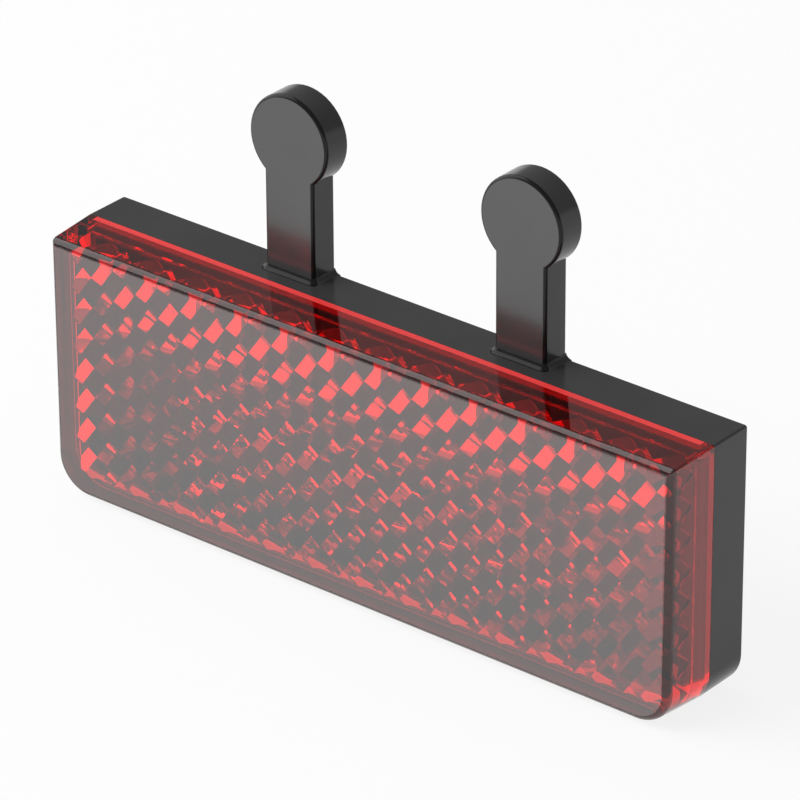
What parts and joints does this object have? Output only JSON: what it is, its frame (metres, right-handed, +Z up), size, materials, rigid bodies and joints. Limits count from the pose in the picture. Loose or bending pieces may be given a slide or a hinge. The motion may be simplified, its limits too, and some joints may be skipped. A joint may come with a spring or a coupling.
{
  "type": "bicycle rear reflector",
  "caption": "Wide red prismatic rear reflector in a black tray with two round-headed tabs for a luggage rack.",
  "frame": {"origin": "centre of the bounding box on the plane that the reflector stands on", "axes": "+X along the reflector, to the viewer's right; +Y from the lens to the back; +Z up, towards the tabs"},
  "size_m": [0.1, 0.0148, 0.0617],
  "materials": {
    "lens_red": "clear polished red acrylic",
    "housing_black": "satin black moulded plastic"
  },
  "bodies": {
    "root": {"lens": "lens_red", "housing": "housing_black"}
  },
  "joints": []
}
